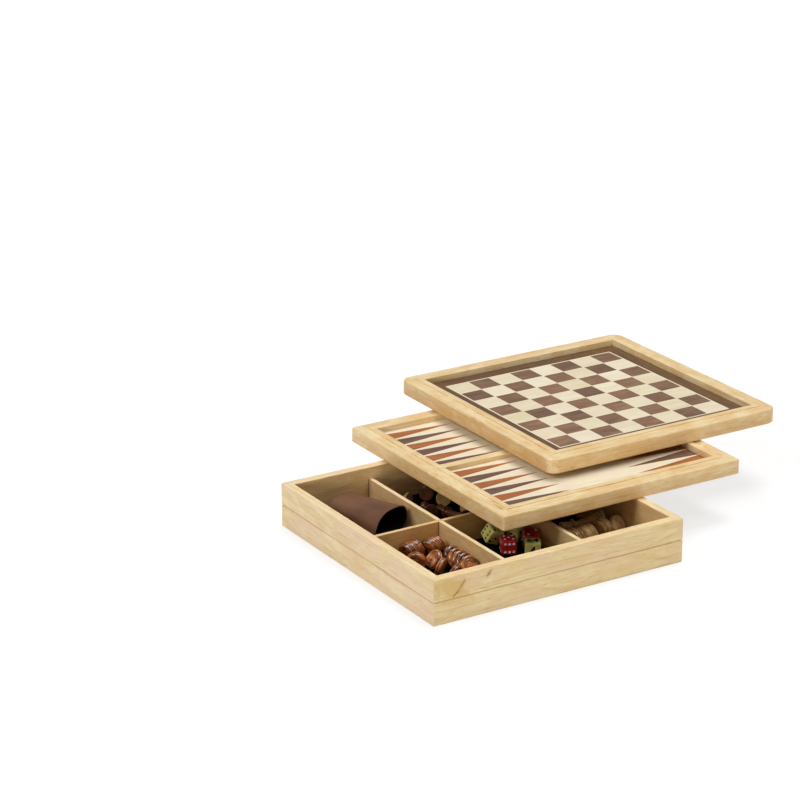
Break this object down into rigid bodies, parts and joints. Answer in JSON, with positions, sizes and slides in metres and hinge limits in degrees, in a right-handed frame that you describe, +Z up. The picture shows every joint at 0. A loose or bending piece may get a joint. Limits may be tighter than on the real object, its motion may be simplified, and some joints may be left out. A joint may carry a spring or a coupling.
{
  "type": "games compendium box",
  "caption": "Square wooden games box with lined compartments for pieces, dice and cups, under two framed sliding boards: backgammon and chess.",
  "frame": {"origin": "centre of the box's underside, on the surface it stands on", "axes": "+Z up; +X and +Y along the sides of the square box; the boards are slid towards +X and +Y"},
  "size_m": [0.5075, 0.415, 0.0814],
  "materials": {
    "pale_wood": "clear satin varnish over rubberwood",
    "plywood": "bare plywood",
    "lining": "black flocked paper",
    "maple_veneer": "satin varnish",
    "walnut_veneer": "satin varnish",
    "orange_veneer": "satin varnish",
    "brown_veneer": "satin varnish",
    "stained_wood": "gloss stain on turned wood",
    "turned_wood": "satin varnish on turned wood",
    "red_acrylic": "polished, white pips",
    "yellow_acrylic": "polished, black pips",
    "leather": "smooth dull brown leather"
  },
  "bodies": {
    "box": {"box_base": "plywood", "box_lining": "lining", "box_wall_back": "pale_wood", "box_wall_front": "pale_wood", "box_wall_left": "pale_wood", "box_wall_right": "pale_wood", "chessmen_dark": "stained_wood", "chessmen_light": "turned_wood", "dice_cup_left": "leather", "dice_cup_right": "leather", "dice_red": "red_acrylic", "dice_yellow": "yellow_acrylic", "divider_cross": "pale_wood", "divider_left": "pale_wood", "divider_right": "pale_wood", "draughts_dark": "stained_wood", "draughts_light": "turned_wood"},
    "backgammon_board": {"backgammon_bar": "pale_wood", "backgammon_field": "maple_veneer", "backgammon_panel": "plywood", "backgammon_rail_back": "pale_wood", "backgammon_rail_front": "pale_wood", "backgammon_rail_left": "pale_wood", "backgammon_rail_right": "pale_wood", "points_dark": "brown_veneer", "points_light": "orange_veneer"},
    "chess_board": {"chess_border_back": "walnut_veneer", "chess_border_front": "walnut_veneer", "chess_border_left": "walnut_veneer", "chess_border_right": "walnut_veneer", "chess_outline": "walnut_veneer", "chess_panel": "plywood", "chess_rail_back": "pale_wood", "chess_rail_front": "pale_wood", "chess_rail_left": "pale_wood", "chess_rail_right": "pale_wood", "chess_stringing": "maple_veneer", "squares_dark": "walnut_veneer", "squares_light": "maple_veneer"}
  },
  "joints": [
    {"name": "backgammon_slide", "type": "slide", "parent": "box", "child": "backgammon_board", "axis": [0.8846, 0.4664, 0], "range_m": [-0.1351, 0.0288]},
    {"name": "chess_slide", "type": "slide", "parent": "backgammon_board", "child": "chess_board", "axis": [0.8451, 0.5346, 0], "range_m": [-0.11597, 0.0556]}
  ]
}
